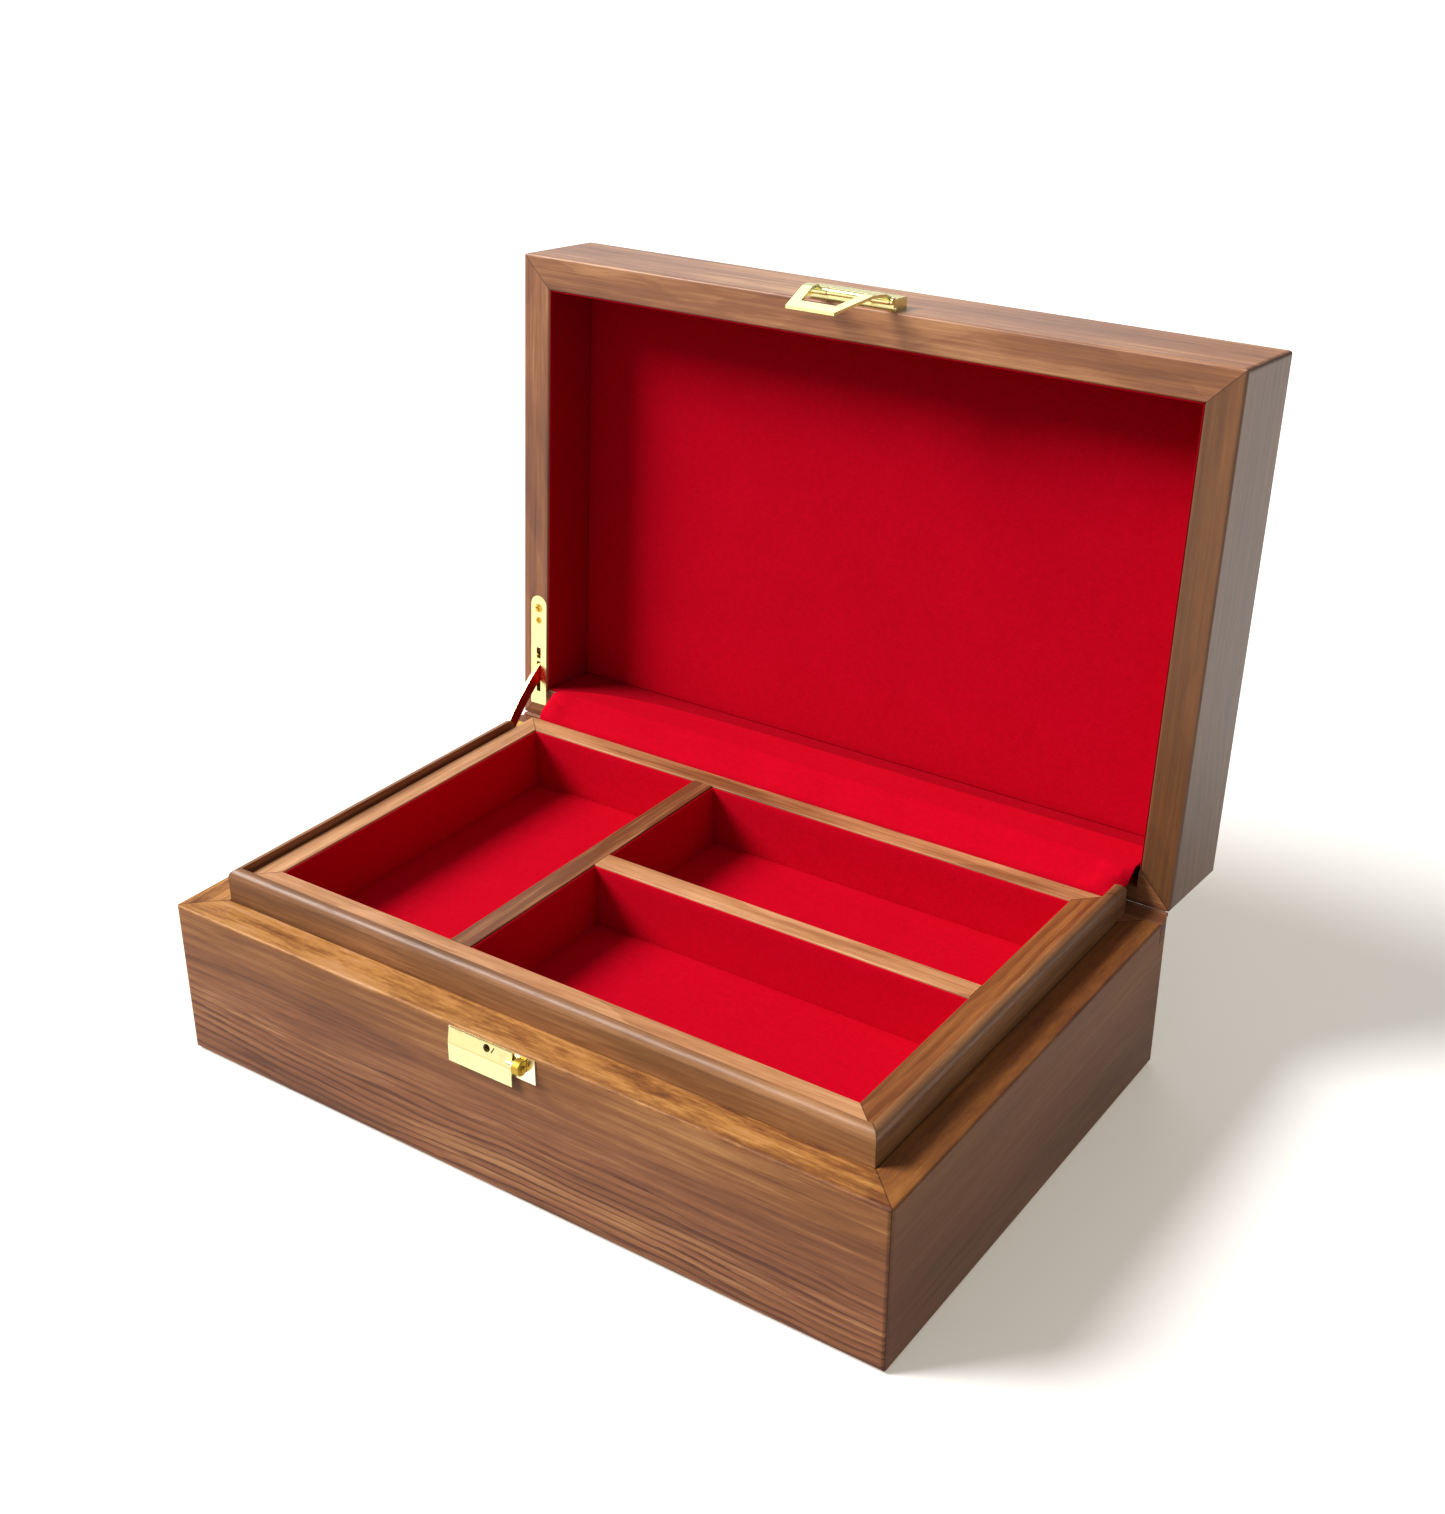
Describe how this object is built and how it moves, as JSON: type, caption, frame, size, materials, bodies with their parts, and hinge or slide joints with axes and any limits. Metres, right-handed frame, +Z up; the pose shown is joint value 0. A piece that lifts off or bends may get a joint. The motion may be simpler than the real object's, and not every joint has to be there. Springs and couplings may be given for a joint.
{
  "type": "watch box",
  "caption": "Hinged walnut box with a velvet-lined lift-out tray in three compartments, a lid stay and a brass bail clasp.",
  "frame": {"origin": "centre of the underside of the base", "axes": "+Z up, the front with the catch faces -Y, +X to the right seen from the front"},
  "size_m": [0.3, 0.257, 0.2657],
  "materials": {
    "walnut_body": "satin oiled walnut",
    "walnut_lip": "satin oiled walnut",
    "walnut_tray": "satin pale walnut",
    "plywood": "plain sanded plywood",
    "velvet": "short pile velvet",
    "felt": "plain felt",
    "brass": "polished"
  },
  "bodies": {
    "base": {"base_front_wall": "walnut_body", "base_right_wall": "walnut_body", "base_back_wall": "walnut_body", "base_left_wall": "walnut_body", "hinge_batten": "walnut_body", "tray_rests": "walnut_body", "lip_front": "walnut_lip", "lip_right": "walnut_lip", "lip_left": "walnut_lip", "base_floor": "plywood", "well_floor_pad": "velvet", "well_side_lining": "velvet", "velvet_flap": "velvet", "base_felt": "felt", "hinge_base_leaf_left": "brass", "hinge_base_leaf_right": "brass", "hinge_pin_left": "brass", "hinge_pin_right": "brass", "hinge_base_screws": "brass", "stay_plate": "brass", "stay_plate_screw": "brass", "catch_backplate": "brass", "catch_pin": "brass", "catch_screw": "brass"},
    "lid": {"hinge_lid_leaf_left": "brass", "hinge_lid_leaf_right": "brass", "hinge_lid_screws": "brass", "stay_leaf": "brass", "stay_leaf_screws": "brass", "clasp_housing": "brass", "clasp_pin": "brass", "lid_front_rail": "walnut_body", "lid_right_rail": "walnut_body", "lid_back_rail": "walnut_body", "lid_left_rail": "walnut_body", "lid_top_panel": "walnut_body", "lid_lining_board": "plywood", "lid_pad": "velvet", "lid_side_lining": "velvet"},
    "tray": {"tray_front_rail": "walnut_tray", "tray_right_rail": "walnut_tray", "tray_back_rail": "walnut_tray", "tray_left_rail": "walnut_tray", "tray_main_divider": "walnut_tray", "tray_cross_divider": "walnut_tray", "tray_bottom_board": "plywood", "lining_left": "velvet", "lining_front": "velvet", "lining_rear": "velvet"},
    "stay": {"stay_arm": "brass"},
    "bail": {"clasp_bail": "brass"},
    "lever": {"catch_lever": "brass"}
  },
  "joints": [
    {"name": "lid_hinge", "type": "hinge", "parent": "base", "child": "lid", "pos_m": [0, 0.099, 0.0626], "axis": [1, 0, 0], "range_deg": [0, 94], "deforming": ["velvet_flap"]},
    {"name": "stay_swing", "type": "hinge", "parent": "base", "child": "stay", "pos_m": [-0.1419, 0.099, 0.0626], "axis": [1, 0, 0], "range_deg": [0, 47]},
    {"name": "tray_lift", "type": "slide", "parent": "base", "child": "tray", "axis": [0, 0, 1], "range_m": [0, 0.014]},
    {"name": "bail_swing", "type": "hinge", "parent": "lid", "child": "bail", "pos_m": [0, 0.11428, 0.26242], "axis": [-1, 0, 0], "range_deg": [-1, 95]},
    {"name": "lever_rock", "type": "hinge", "parent": "base", "child": "lever", "pos_m": [0, -0.1001, 0.0582], "axis": [1, 0, 0], "range_deg": [0, 4], "stiffness_Nm_per_rad": 0.02}
  ],
  "couplings": [
    {"joint": "stay_swing", "follows": "lid_hinge", "ratio": 0.5}
  ]
}
